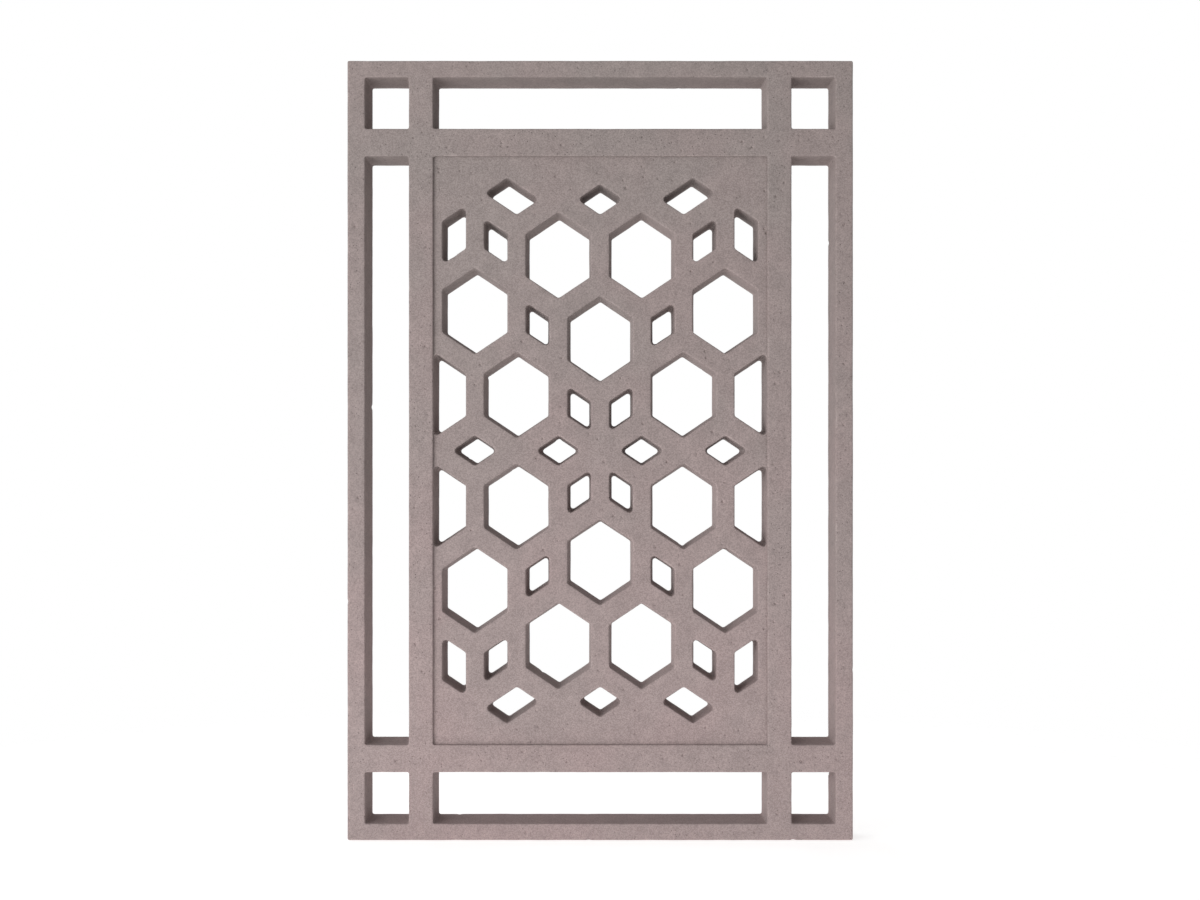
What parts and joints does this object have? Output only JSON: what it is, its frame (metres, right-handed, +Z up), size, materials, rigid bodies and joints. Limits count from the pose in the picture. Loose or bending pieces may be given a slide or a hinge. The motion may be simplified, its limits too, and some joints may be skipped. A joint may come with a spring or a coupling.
{
  "type": "mashrabiya screen",
  "caption": "Cast-stone facade screen: a frame of crossing bars with plain slots round a slightly recessed panel pierced with a lattice of hexagons and lozenges.",
  "frame": {"origin": "middle of the bottom edge, the face that the screen is bedded on", "axes": "+Z up the screen, +X to the right as seen from the front, -Y out of the face"},
  "size_m": [0.65, 0.055, 1.002],
  "materials": {
    "frame_stone": "matt cast stone, grey-mauve, fine sand texture",
    "panel_stone": "matt cast stone, grey-mauve, fine sand texture"
  },
  "bodies": {
    "root": {"frame": "frame_stone", "lattice_panel": "panel_stone"}
  },
  "joints": []
}
